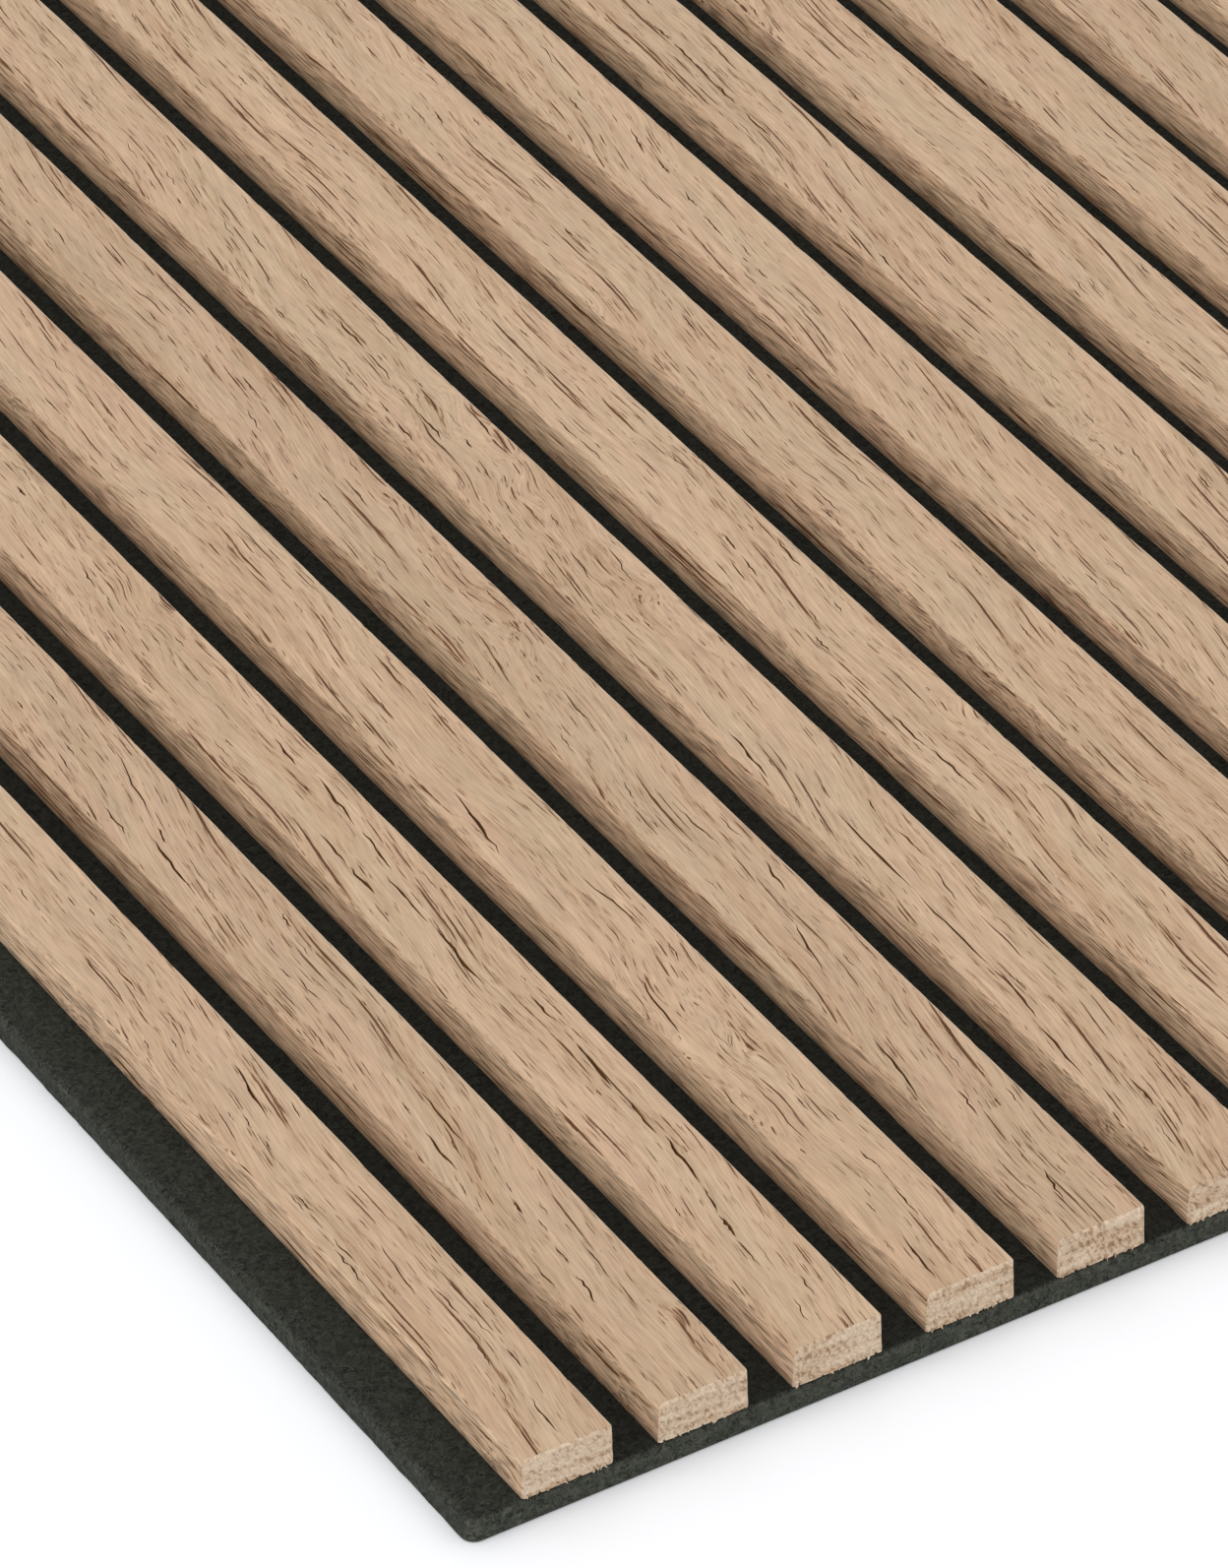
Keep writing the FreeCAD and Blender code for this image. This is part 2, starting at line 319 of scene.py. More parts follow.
# %% oak: streaks, ridges and fibres
# Each range ends with how dark and how pale the layer makes the wood.
BRIGHTEST_SIDE = 1.3
streak = add(tree, "MapRange", (layers["streak"], 0.3, 0.7, 0.95, 1.06))
# On the sides the streaks and ridges are stronger, and the streaks sit higher than on the top, so a side
# comes out a little paler than the top: painted light.
side_streak_and_painted_light = add(tree, "MapRange", (layers["streak"], 0.34, 0.64, 0.93, 1.27))
ridge = add(tree, "MapRange", (layers["ridge"], 0.34, 0.66, 0.94, 1.06))
side_ridge = add(tree, "MapRange", (layers["ridge"], 0.36, 0.6, 0.5, 1.42))
fibre = add(tree, "MapRange", (layers["fibre"], 0.32, 0.68, 0.88, 1.11))
slat_tone = add(tree, "MapRange", (chance.outputs["Value"], 0.0, 1.0, 0.935, 1.015))
top_shade = add(tree, "Math", (streak.outputs[0], ridge.outputs[0]), operation="MULTIPLY")
side_shade = add(tree, "Math", (side_streak_and_painted_light.outputs[0], side_ridge.outputs[0]), operation="MULTIPLY")
side_shade = add(tree, "Math", (side_shade.outputs[0], BRIGHTEST_SIDE), operation="MINIMUM")
shade = add(tree, "Mix", {"Factor": flank.outputs[0], 2: top_shade.outputs[0], 3: side_shade.outputs[0]})
shade = add(tree, "Math", (shade.outputs[0], fibre.outputs[0]), operation="MULTIPLY")
shade = add(tree, "Math", (shade.outputs[0], slat_tone.outputs[0]), operation="MULTIPLY")
wood = add(tree, "VectorMath", {0: tone.outputs[2], "Scale": shade.outputs[0]}, operation="SCALE")
print("a side is at most", BRIGHTEST_SIDE, "times the tone")

# %% oak: dark bands and fine pores
# Real fine pores are about a tenth of a millimetre wide. These are two to three times that, to show.
crowd = add(tree, "MapRange", (layers["crowd"], 0.38, 0.6, 0.3, 1.0))
band = add(tree, "MapRange", (layers["crowd"], 0.46, 0.7, 0.0, 0.3))
wood = add(
    tree, "Mix", {"Factor": band.outputs[0], 6: wood.outputs[0], 7: colour("#a8835f")}, data_type="RGBA"
)
pore = add(tree, "MapRange", (layers["pore"], 0.57, 0.7, 0.0, 0.6))
pore = add(tree, "Math", (pore.outputs[0], crowd.outputs[0]), operation="MULTIPLY")
wood = add(
    tree, "Mix", {"Factor": pore.outputs[0], 6: wood.outputs[2], 7: colour("#835a34")}, data_type="RGBA"
)
print("fine pores of about", GRAIN_LAYERS["pore"][0][0], "mm")

# %% [markdown]
# The larger pores were cut open by the plane and show as brown strokes with sharp sides and pointed ends.
# A Voronoi pattern, stretched along the grain, puts one point in every cell. What lies near enough to a
# point is stroke, and each cell draws its own size by chance, larger where pores crowd together. A little
# noise in front of it keeps the sides from being too smooth. Each row below is a cell size in
# millimetres, a reach within the cell and a strength. The widest strokes are two to three times as wide
# as real pores, so that they show.

# %% oak: open pores as strokes
STROKES = (((1.6, 82, 1.6), 0.3, 0.95), ((1.1, 38, 1.1), 0.31, 0.9), ((0.8, 16, 0.8), 0.29, 0.75))
jag_at = add(tree, "Mapping", {"Vector": grain.outputs[0], "Scale": per_mm(0.9, 5, 0.9)})
jag = add(tree, "TexNoise", {"Vector": jag_at.outputs[0], "Scale": 1.0, "Detail": 2.0})
jag = add(tree, "VectorMath", (jag.outputs["Color"], (0.5, 0.5, 0.5)), operation="SUBTRACT")
jagged = add(
    tree,
    "VectorMath",
    (jag.outputs[0], (0.5 * MM, 4.0 * MM, 0.5 * MM), grain.outputs[0]),
    operation="MULTIPLY_ADD",
)
swollen = add(tree, "MapRange", (layers["crowd"], 0.38, 0.62, 0.42, 1.2))
sunk = pore
for size, reach, strength in STROKES:
    at = add(tree, "Mapping", {"Vector": jagged.outputs[0], "Scale": per_mm(*size)})
    cell = add(tree, "TexVoronoi", {"Vector": at.outputs[0], "Scale": 1.0})
    draw = add(tree, "SeparateXYZ", (cell.outputs["Color"],))
    draw = add(tree, "Math", (draw.outputs["X"], 0.7), operation="POWER")
    draw = add(tree, "Math", (draw.outputs[0], reach), operation="MULTIPLY")
    draw = add(tree, "Math", (draw.outputs[0], swollen.outputs[0]), operation="MULTIPLY")
    near = add(tree, "Math", (cell.outputs["Distance"], draw.outputs[0]), operation="DIVIDE")
    pale = add(tree, "MapRange", (near.outputs[0], 1.0, 0.82, 0.0, 0.75 * strength))
    dark = add(tree, "MapRange", (near.outputs[0], 0.9, 0.6, 0.0, strength))
    wood = add(
        tree,
        "Mix",
        {"Factor": pale.outputs[0], 6: wood.outputs[2], 7: colour("#94653a")},
        data_type="RGBA",
    )
    wood = add(
        tree,
        "Mix",
        {"Factor": dark.outputs[0], 6: wood.outputs[2], 7: colour("#532f10")},
        data_type="RGBA",
    )
    sunk = add(tree, "Math", (sunk.outputs[0], pale.outputs[0]), operation="ADD")
print("strokes in cells of", [size[:2] for size, reach, strength in STROKES], "mm")

# %% oak: sawn ends
END_RING, END_PIT, END_SPECK = (16, 400, 2.4), (1.05, 9, 1.9), 0.7
PIT_SLANT = math.radians(28)
ring_at = add(tree, "Mapping", {"Vector": grain.outputs[0], "Scale": per_mm(*END_RING)})
ring = add(tree, "TexNoise", {"Vector": ring_at.outputs[0], "Scale": 1.0, "Detail": 2.0})
ring = add(tree, "MapRange", (ring.outputs["Fac"], 0.4, 0.64, 0.0, 1.0))
end_wood = add(
    tree, "Mix", {"Factor": ring.outputs[0], 6: colour("#dfc8ae"), 7: colour("#cdb092")}, data_type="RGBA"
)
slanted = add(
    tree, "VectorRotate", {"Vector": board.outputs[0], "Angle": PIT_SLANT}, rotation_type="Y_AXIS"
)
pit_at = add(tree, "Mapping", {"Vector": slanted.outputs[0], "Scale": per_mm(*END_PIT)})
pit = add(tree, "TexNoise", {"Vector": pit_at.outputs[0], "Scale": 1.0, "Detail": 2.0, "Distortion": 0.4})
pit = add(tree, "MapRange", (pit.outputs["Fac"], 0.49, 0.62, 0.0, 0.9))
early = add(tree, "MapRange", (ring.outputs[0], 0.0, 1.0, 0.3, 1.0))
pit = add(tree, "Math", (pit.outputs[0], early.outputs[0]), operation="MULTIPLY")
end_wood = add(
    tree,
    "Mix",
    {"Factor": pit.outputs[0], 6: end_wood.outputs[2], 7: colour("#92704f")},
    data_type="RGBA",
)
speck_at = add(tree, "Mapping", {"Vector": board.outputs[0], "Scale": per_mm(END_SPECK, 3, END_SPECK)})
speck = add(tree, "TexNoise", {"Vector": speck_at.outputs[0], "Scale": 1.0, "Detail": 1.0})
speck = add(tree, "MapRange", (speck.outputs["Fac"], 0.34, 0.66, 0.87, 1.12))
end_wood = add(tree, "VectorMath", {0: end_wood.outputs[2], "Scale": speck.outputs[0]}, operation="SCALE")
wood = add(
    tree, "Mix", {"Factor": sawn.outputs[0], 6: wood.outputs[2], 7: end_wood.outputs[0]}, data_type="RGBA"
)
print("sawn ends: pits of about", END_PIT[0], "mm")

# %% oak: painted highlight on the right edge and painted shade at the foot
FOOT_SHADE = 2.6 * MM
# Painted highlight: the rounded right top edge is painted paler, where it would catch the light.
turn_right = add(tree, "MapRange", (facing.outputs["X"], 0.12, 0.3, 0.0, 0.55))
turn_down = add(tree, "MapRange", (facing.outputs["Z"], 0.1, 0.35, 0.0, 1.0))
painted_highlight = add(
    tree, "Math", (turn_right.outputs["Result"], turn_down.outputs["Result"]), operation="MULTIPLY"
)
wood = add(
    tree, "Mix", {"Factor": painted_highlight.outputs[0], 6: wood.outputs[2], 7: colour("#e8d8c4")}, data_type="RGBA"
)
# Painted shade: the lowest part of each side is painted darker, to about half at the felt.
foot = add(tree, "MapRange", (along.outputs["Z"], first_low.z, first_low.z + FOOT_SHADE, 0.55, 1.0))
foot = add(tree, "Mix", {"Factor": flank.outputs[0], 2: 1.0, 3: foot.outputs[0]})
wood = add(tree, "VectorMath", {0: wood.outputs[2], "Scale": foot.outputs[0]}, operation="SCALE")
tree.links.new(wood.outputs[0], shader.inputs["Base Color"])
print("worn edge and foot of", round(FOOT_SHADE / MM, 1), "mm")

# %% oak: relief and dullness
height = add(tree, "Math", (layers["fibre"], layers["ridge"]), operation="ADD")
height = add(tree, "Math", (height.outputs[0], sunk.outputs[0]), operation="SUBTRACT")
relief = add(tree, "Bump", {"Height": height.outputs[0], "Strength": 0.7, "Distance": 0.22 * MM})
tree.links.new(relief.outputs["Normal"], shader.inputs["Normal"])
dull = add(tree, "MapRange", (layers["streak"], 0.3, 0.7, 0.58, 0.72))
tree.links.new(dull.outputs["Result"], shader.inputs["Roughness"])
shader.inputs["Specular IOR Level"].default_value = 0.3
print("oak material:", oak.name, "with", len(tree.nodes), "nodes")

# %% [markdown]
# Where the wood has opened in a small crack, the inside is out of the light and darker than the planed
# face. The cracks are cut into the mesh further down, and their walls take this second finish.

# %% oak inside a crack
crack_oak, tree, shader = new_material("oak_inside_a_crack")
place = add(tree, "TexCoord").outputs["Object"]
at = add(tree, "Mapping", {"Vector": place, "Scale": per_mm(0.8, 9, 0.8)})
patch = add(tree, "TexNoise", {"Vector": at.outputs[0], "Scale": 1.0, "Detail": 2.0})
inside = add(
    tree,
    "Mix",
    {"Factor": patch.outputs["Fac"], 6: colour("#482c14"), 7: colour("#7f5930")},
    data_type="RGBA",
)
tree.links.new(inside.outputs[2], shader.inputs["Base Color"])
rough = add(tree, "MapRange", (patch.outputs["Fac"], 0.0, 1.0, 0.75, 0.95))
tree.links.new(rough.outputs["Result"], shader.inputs["Roughness"])
shader.inputs["Specular IOR Level"].default_value = 0.15
print("crack material:", crack_oak.name)

# %% [markdown]
# ## One slat, by hand
# A slat is a planed bar. Its left top edge is softly rounded and its right one is crisper. It is modelled
# once as a cube at the size of the first CAD slat, a little too long, as a joiner leaves it before the
# saw. Two edges are bevelled, and the bar is then divided along its length so that its edges can wander a
# little.

# %% helpers for edit mode
def only(piece):
    """Selects one object and nothing else."""
    bpy.ops.object.select_all(action="DESELECT")
    piece.select_set(True)
    bpy.context.view_layer.objects.active = piece


def pick(kind, test):
    """In edit mode, selects the verts, edges or faces that pass the test and nothing else."""
    bpy.ops.mesh.select_mode(type={"verts": "VERT", "edges": "EDGE", "faces": "FACE"}[kind])
    bpy.ops.mesh.select_all(action="DESELECT")
    form = bmesh.from_edit_mesh(bpy.context.edit_object.data)
    chosen = [item for item in getattr(form, kind) if test(item)]
    for item in chosen:
        item.select_set(True)
    form.select_flush_mode()
    bmesh.update_edit_mesh(bpy.context.edit_object.data)
    return len(chosen)


def along_y(edge):
    """True for an edge that runs the length of the panel."""
    run = edge.verts[1].co - edge.verts[0].co
    return abs(run.y) > 0.9 * run.length


def apply_modifier(piece, modifier):
    """Makes a modifier's result the mesh."""
    only(piece)
    bpy.ops.object.modifier_apply(modifier=modifier.name)


def group(name, test):
    """In edit mode, makes a vertex group of the points that pass the test."""
    pick("verts", test)
    bpy.ops.object.vertex_group_assign_new()
    bpy.context.object.vertex_groups[-1].name = name


def block(name, middle, size):
    """A cube of a size at a place."""
    bpy.ops.object.select_all(action="DESELECT")
    bpy.ops.mesh.primitive_cube_add(size=1.0, location=middle)
    made = bpy.context.object
    made.name = name
    made.scale = size
    bpy.ops.object.transform_apply(location=True, rotation=True, scale=True)
    return made


def points_and_faces(piece):
    """The points and faces of a piece as plain numbers, for laying copies. The piece is removed."""
    points = np.array([v.co for v in piece.data.vertices])
    faces = [tuple(p.vertices) for p in piece.data.polygons]
    bpy.data.objects.remove(piece)
    return points, faces


print("edit helpers ready:", pick.__name__, group.__name__, block.__name__)

# %% slat blank
SAW_ALLOWANCE = 2.0 * MM
LEFT_ROUND, RIGHT_ROUND = 1.7 * MM, 0.4 * MM
EDGE_ZONE = 2.2 * MM
middle = (first_low + first_high) / 2
size = first_high - first_low
blank = block("slat_blank", middle, (size.x, size.y + 2 * SAW_ALLOWANCE, size.z))
bpy.ops.object.mode_set(mode="EDIT")
for side, radius, segments in ((first_low.x, LEFT_ROUND, 5), (first_high.x, RIGHT_ROUND, 3)):
    pick("edges", lambda e: along_y(e) and all(
        abs(v.co.x - side) < 1e-6 and v.co.z > middle.z for v in e.verts))
    bpy.ops.mesh.bevel(offset=radius, segments=segments, affect="EDGES")
for cuts in (24, 19):
    pick("edges", along_y)
    bpy.ops.mesh.subdivide(number_cuts=cuts)
for name, side in (("left_edge", first_low.x), ("right_edge", first_high.x)):
    group(name, lambda v: abs(v.co.x - side) < EDGE_ZONE and v.co.z > first_high.z - EDGE_ZONE)
bpy.ops.object.mode_set(mode="OBJECT")
print("slat blank:", len(blank.data.polygons), "faces")

# %% [markdown]
# ## The saw and the cracks
# A saw leaves the end of a slat rough, and drying opens short cracks that follow the grain. Both take
# wood away, so both are cut with a Boolean. The saw is a block whose inner face is a fine grid, roughened
# by Displace. Its rim bends inwards, so that it also eases the edges round the sawn end. The cutter for
# cracks is one thin wedge, modelled once and copied a few hundred times for each slat with its own
# length, width and bend. Copies are kept apart, because a Boolean needs a clean cutter.

# %% saw block
SAW_REACH, SAW_MARGIN = 6.0 * MM, 3 * MM
bpy.ops.object.select_all(action="DESELECT")
bpy.ops.mesh.primitive_grid_add(
    x_subdivisions=60, y_subdivisions=28, size=1.0, rotation=(-math.pi / 2, 0, 0)
)
saw_block = bpy.context.object
saw_block.name = "saw_block"
saw_block.scale = (size.x + SAW_MARGIN, size.z + SAW_MARGIN, 1.0)
saw_block.location = (middle.x, first_low.y, middle.z)
bpy.ops.object.transform_apply(location=True, rotation=True, scale=True)
bpy.ops.object.mode_set(mode="EDIT")
bpy.ops.mesh.select_all(action="SELECT")
bpy.ops.object.vertex_group_assign_new()
saw_block.vertex_groups[-1].name = "teeth"
bpy.ops.mesh.extrude_region_move(TRANSFORM_OT_translate={"value": (0, -SAW_REACH, 0)})
bpy.ops.object.vertex_group_remove_from()
bpy.ops.mesh.select_all(action="SELECT")
bpy.ops.mesh.normals_make_consistent(inside=False)
bpy.ops.object.mode_set(mode="OBJECT")
RIM = {"top": 0.9 * MM, "right": 0.9 * MM, "left": 0.7 * MM}
for v in saw_block.data.vertices:
    if v.co.y > first_low.y - SAW_REACH / 2:
        room = {
            "top": first_high.z - v.co.z,
            "right": first_high.x - v.co.x,
            "left": v.co.x - first_low.x,
        }
        v.co.y += sum(max(0.0, RIM[side] - max(room[side], 0.0)) ** 2 / RIM[side] for side in RIM)
print("saw block:", len(saw_block.data.polygons), "faces")

# %% crack wedge
bpy.ops.object.select_all(action="DESELECT")
bpy.ops.mesh.primitive_cube_add(size=2.0)
wedge = bpy.context.object
wedge.name = "crack_wedge"
bpy.ops.object.mode_set(mode="EDIT")
pick("verts", lambda v: v.co.z < 0)
bpy.ops.transform.resize(value=(0, 1, 1))
bpy.ops.mesh.select_all(action="SELECT")
bpy.ops.mesh.remove_doubles(threshold=1e-4)
pick("edges", along_y)
bpy.ops.mesh.subdivide(number_cuts=7)
bpy.ops.mesh.select_all(action="SELECT")
bpy.ops.mesh.normals_make_consistent(inside=False)
bpy.ops.object.mode_set(mode="OBJECT")
wedge_points, wedge_faces = points_and_faces(wedge)
print("crack wedge:", len(wedge_points), "points", len(wedge_faces), "faces")

# %% wedges bent into cracks
CUT_LIFT = 0.2 * MM
TAPER, TIP, SWELL = 2.5, 0.06, 0.7


def wedge_cut(centre, along, outward, length, width, depth, seed):
    """The wedge sized and bent into one cut: a centre, the way it runs and the way it opens."""
    along, outward = Vector(along).normalized(), Vector(outward).normalized()
    across = along.cross(outward)
    run = wedge_points[:, 1]
    taper = np.clip(1 - np.abs(run) ** TAPER, TIP, 1)
    sway = np.array([noise.noise((seed, t * 2.6, 0.5)) for t in run]) * min(0.06 * length, 0.8 * MM)
    upper = wedge_points[:, 2] > 0
    swell = 1 + SWELL * np.array([noise.noise((seed, t * 3.2, 4.5)) for t in run])
    half = (width / 2) * swell * (taper + CUT_LIFT / depth)
    sideways = sway + np.where(upper, np.sign(wedge_points[:, 0]) * half, 0)
    upwards = np.where(upper, CUT_LIFT, -depth * taper)
    forwards = run * length / 2
    return (
        np.array(centre)
        + forwards[:, None] * np.array(along)
        + sideways[:, None] * np.array(across)
        + upwards[:, None] * np.array(outward)
    )


def mesh_of_copies(name, copies, faces, finishes):
    """One mesh object from many placed copies of the same faces, each with its own finish number."""
    points = np.concatenate(copies)
    count = len(copies[0])
    all_faces = [tuple(i + k * count for i in f) for k in range(len(copies)) for f in faces]
    mesh = bpy.data.meshes.new(name)
    mesh.from_pydata(points.tolist(), [], all_faces)
    mesh.polygons.foreach_set("material_index", np.repeat(np.array(finishes, dtype=np.int32), len(faces)))
    made = bpy.data.objects.new(name, mesh)
    bpy.context.collection.objects.link(made)
    return made


print("a wedge of", len(wedge_faces), "faces serves every cut")

# %% [markdown]
# The longest cracks are where the photograph shows them, on the six nearest slats. Each row of the list
# is a crack measured in millimetres: its start and its end, as the distance from the front end and from
# the slat's left edge, and its width. The rest are drawn by chance, along the line of the grain, some of
# them in broken chains.

# %% measured cracks
SEEN_CRACKS = {
    0: ((5, 14.3, 22, 14.8, 0.35), (32, 19.4, 42, 20.1, 0.3), (72, 11.6, 95, 13.8, 0.4),
        (84, 2.4, 100, 3.2, 0.4), (157, 15.9, 182, 19.6, 0.55), (219, 7.7, 245, 8.6, 0.35),
        (222, 13.2, 236, 13.8, 0.3)),
    1: ((110, 5.8, 129, 7.0, 0.4), (119, 13.3, 146, 14.6, 0.4), (255, 7.7, 281, 9.3, 0.45),
        (285, 4.6, 300, 5.4, 0.35)),
    2: ((34, 11.0, 46.5, 12.0, 0.35), (47.5, 12.2, 57.5, 13.4, 0.6), (58.5, 13.5, 70.5, 15.7, 0.4),
        (71.5, 15.9, 93.5, 18.6, 0.6), (95, 17.4, 112, 18.3, 0.5), (118, 17.9, 140, 19.6, 0.6),
        (150, 19.4, 165, 20.1, 0.45), (174, 11.5, 204, 13.7, 0.6), (205.5, 12.6, 231, 14.3, 0.5),
        (225, 7.4, 239.5, 7.9, 0.6), (240.5, 7.9, 257, 8.8, 0.4), (232, 16.7, 252, 18.8, 0.45),
        (254, 18.6, 280, 20.9, 0.5), (287, 18.4, 302, 20.0, 0.5)),
    3: ((5, 6.0, 25, 8.1, 0.4), (128, 4.2, 155, 7.6, 0.5), (172, 20.5, 202, 17.5, 0.35),
        (222, 4.6, 253, 8.6, 0.55)),
    4: ((14, 10.6, 28, 13.2, 0.4), (55, 11.1, 68, 12.9, 0.35), (70, 2.4, 99, 6.1, 0.45),
        (130, 10.1, 152, 14.6, 0.45), (165, 20.5, 181, 22.4, 0.45), (195, 15.5, 212, 15.9, 0.35),
        (260, 16.0, 279, 16.6, 0.35)),
    5: ((33, 12.3, 48, 12.8, 0.45), (54, 3.2, 80, 5.2, 0.5), (82, 6.5, 105, 9.0, 0.4),
        (107, 8.2, 145, 9.0, 0.35), (146.5, 9.1, 190, 10.4, 0.4)),
}
# A cut with sloping walls looks narrower than it is, so it is made half as wide again.
CUT_WIDEN = 1.5


def seen_cracks(number, low):
    """The measured cracks of one slat as a place, a direction, a length and a width."""
    for y0, x0, y1, x1, width in SEEN_CRACKS.get(number, ()):
        centre = (low.x + (x0 + x1) / 2 * MM, low.y + (y0 + y1) / 2 * MM)
        yield centre, (x1 - x0) / (y1 - y0), math.hypot(x1 - x0, y1 - y0) * MM, CUT_WIDEN * width * MM


print("measured cracks:", sum(len(rows) for rows in SEEN_CRACKS.values()))

# %% cracks by chance
CHAIN_CHANCE = 0.05
CHAIN_LENGTH, CHAIN_WIDTH = 14, 0.7
SINGLE_LENGTH, SINGLE_WIDTH = 7.5, 0.42
LONGEST = 34


def chance_cracks(rng, number, low, high):
    """Places for further cracks without end, one by one or in chains along the grain."""
    while True:
        x = rng.uniform(low.x + 2.2 * MM, high.x - 1.8 * MM)
        y = rng.uniform(low.y, high.y)
        links, usual, widest = 1, SINGLE_LENGTH, SINGLE_WIDTH
        if rng.uniform() < CHAIN_CHANCE:
            links, usual, widest = rng.integers(4, 9), CHAIN_LENGTH, CHAIN_WIDTH
        for _ in range(links):
            length = min(rng.lognormal(math.log(usual), 0.5), LONGEST) * MM
            slope = grain_slope(number, y) + rng.normal(0, 0.02)
            yield (x, y), slope, length, rng.uniform(0.5, 1.0) * widest * MM
            y += 1.15 * length
            x += 1.15 * length * slope + rng.normal(0, 0.3) * MM


print("one crack in", round(1 / CHAIN_CHANCE), "starts a chain")

# %% cracks in the top and left faces
TOP_CRACKS, SIDE_CRACKS = 230, 90


def top_cracks(rng, number, low, high):
    """Cracks in the top face, kept clear of each other and of the edges."""
    kept, cuts = [], []
    places = itertools.chain(seen_cracks(number, low), chance_cracks(rng, number, low, high))
    for (x, y), slope, length, width in places:
        reach = abs(slope) * length / 2 + 0.7 * MM
        clear = low.x + 1.6 * MM < x - reach and x + reach < high.x - 1.2 * MM and all(
            abs(y - k[1]) > (length + k[2]) / 2 + 0.3 * MM or abs(x - k[0]) > reach + k[3] for k in kept
        )
        if clear:
            kept.append((x, y, length, reach))
            depth, seed = rng.uniform(1.0, 1.6) * width, 7.3 * len(kept) + number
            cuts.append(wedge_cut((x, y, high.z), (slope, 1, 0), (0, 0, 1), length, width, depth, seed))
        if len(kept) == TOP_CRACKS:
            return cuts


def side_cracks(rng, number, low, high):
    """Cracks along the left side in two rows, one after another."""
    cuts = []
    for lowest, highest in ((1.0, 4.2), (5.2, 8.6)):
        for step in range(SIDE_CRACKS):
            y = low.y + (high.y - low.y) * (step + rng.uniform(0.4, 0.6)) / SIDE_CRACKS
            z = low.z + rng.uniform(lowest, highest) * MM
            length, width, depth = (rng.uniform(*r) * MM for r in ((7, 20), (0.2, 0.45), (0.3, 0.6)))
            run = (0, 1, rng.normal(0, 0.02))
            seed = 3.1 * step + number
            cuts.append(wedge_cut((low.x, y, z), run, (-1, 0, 0), length, width, depth, seed))
    return cuts


print("cracks for each slat:", TOP_CRACKS, "on top and", 2 * SIDE_CRACKS, "on the left side")

# %% chips along the right top edge and notches at the ends
EDGE_CHIPS, END_NOTCHES = 70, 7


def edge_chips(rng, number, low, high):
    """Small splinters missing from the crisp right edge."""
    cuts = []
    for step in range(EDGE_CHIPS):
        y = low.y + (high.y - low.y) * (step + rng.uniform(0.25, 0.75)) / EDGE_CHIPS
        length = rng.uniform(3, 13) * MM
        width, depth = rng.uniform(0.5, 1.1) * MM, rng.uniform(0.15, 0.4) * MM
        centre = (high.x - 0.25 * MM, y, high.z - 0.25 * MM)
        cuts.append(wedge_cut(centre, (0, 1, 0), (1, 0, 1), length, width, depth, 5.7 * step + number))
    return cuts


def end_notches(rng, number, low, high):
    """Torn places at the foot of each sawn end."""
    cuts = []
    for end, outward in ((low.y, -1), (high.y, 1)):
        for step in range(END_NOTCHES):
            x = low.x + (high.x - low.x) * (step + rng.uniform(0.3, 0.7)) / END_NOTCHES
            length, width = rng.uniform(0.8, 2.4) * MM, rng.uniform(0.3, 0.8) * MM
            centre = (x, end - outward * 0.5 * MM, low.z + 0.1 * MM)
            lean = rng.normal(0, 0.3)
            run, seed = (lean, 0, 1), step + number
            cuts.append(wedge_cut(centre, run, (0, outward, 0), length, width, 0.5 * MM, seed))
    return cuts


print("chips and notches:", EDGE_CHIPS, "and", 2 * END_NOTCHES, "for each slat")

# %% [markdown]
# ## Fifteen slats
# Each slat is a copy of the blank with its own mesh, moved to its CAD node. Displace lets its two top
# edges wander inwards by less than a millimetre. The cloud pattern is read at the slat's own place, so no
# two slats wander alike. The two sawn ends and then all the cracks are cut with Booleans, and Weighted
# Normal keeps the broad faces flat while the rounded edges stay smooth.

# %% wear patterns
def clouds(name, size_mm, depth):
    """A cloud pattern for Displace, of a size in millimetres."""
    texture = bpy.data.textures.new(name, "CLOUDS")
    texture.noise_scale = size_mm * MM
    texture.noise_depth = depth
    return texture


edge_clouds = clouds("edge_wander", 14, 2)
tooth_clouds = clouds("saw_tooth", 1.5, 2)
tear_clouds = clouds("end_tear", 4, 1)


def displace(piece, texture, group, direction, strength):
    """Pushes a group of points along one axis by up to the strength, and applies it."""
    push = piece.modifiers.new("push", "DISPLACE")
    push.texture = texture
    push.texture_coords = "LOCAL"
    push.vertex_group = group
    push.direction = direction
    push.mid_level = 0.0
    push.strength = strength
    apply_modifier(piece, push)


def copy_at(source, name, shift):
    """A copy with its own mesh, moved, with its place in the mesh."""
    made = source.copy()
    made.data = source.data.copy()
    made.name = name
    bpy.context.collection.objects.link(made)
    made.location = shift
    only(made)
    bpy.ops.object.transform_apply(location=True, rotation=True, scale=True)
    return made


print("wear patterns:", edge_clouds.name, tooth_clouds.name, tear_clouds.name)

# %% cutting one piece out of another
def cut_away(piece, cutter):
    """Takes the cutter out of the piece with a Boolean and removes the cutter."""
    cut = piece.modifiers.new("cut", "BOOLEAN")
    cut.operation = "DIFFERENCE"
    cut.solver = "MANIFOLD"
    cut.object = cutter
    apply_modifier(piece, cut)
    bpy.data.objects.remove(cutter)


print("cuts are made by", cut_away.__name__)

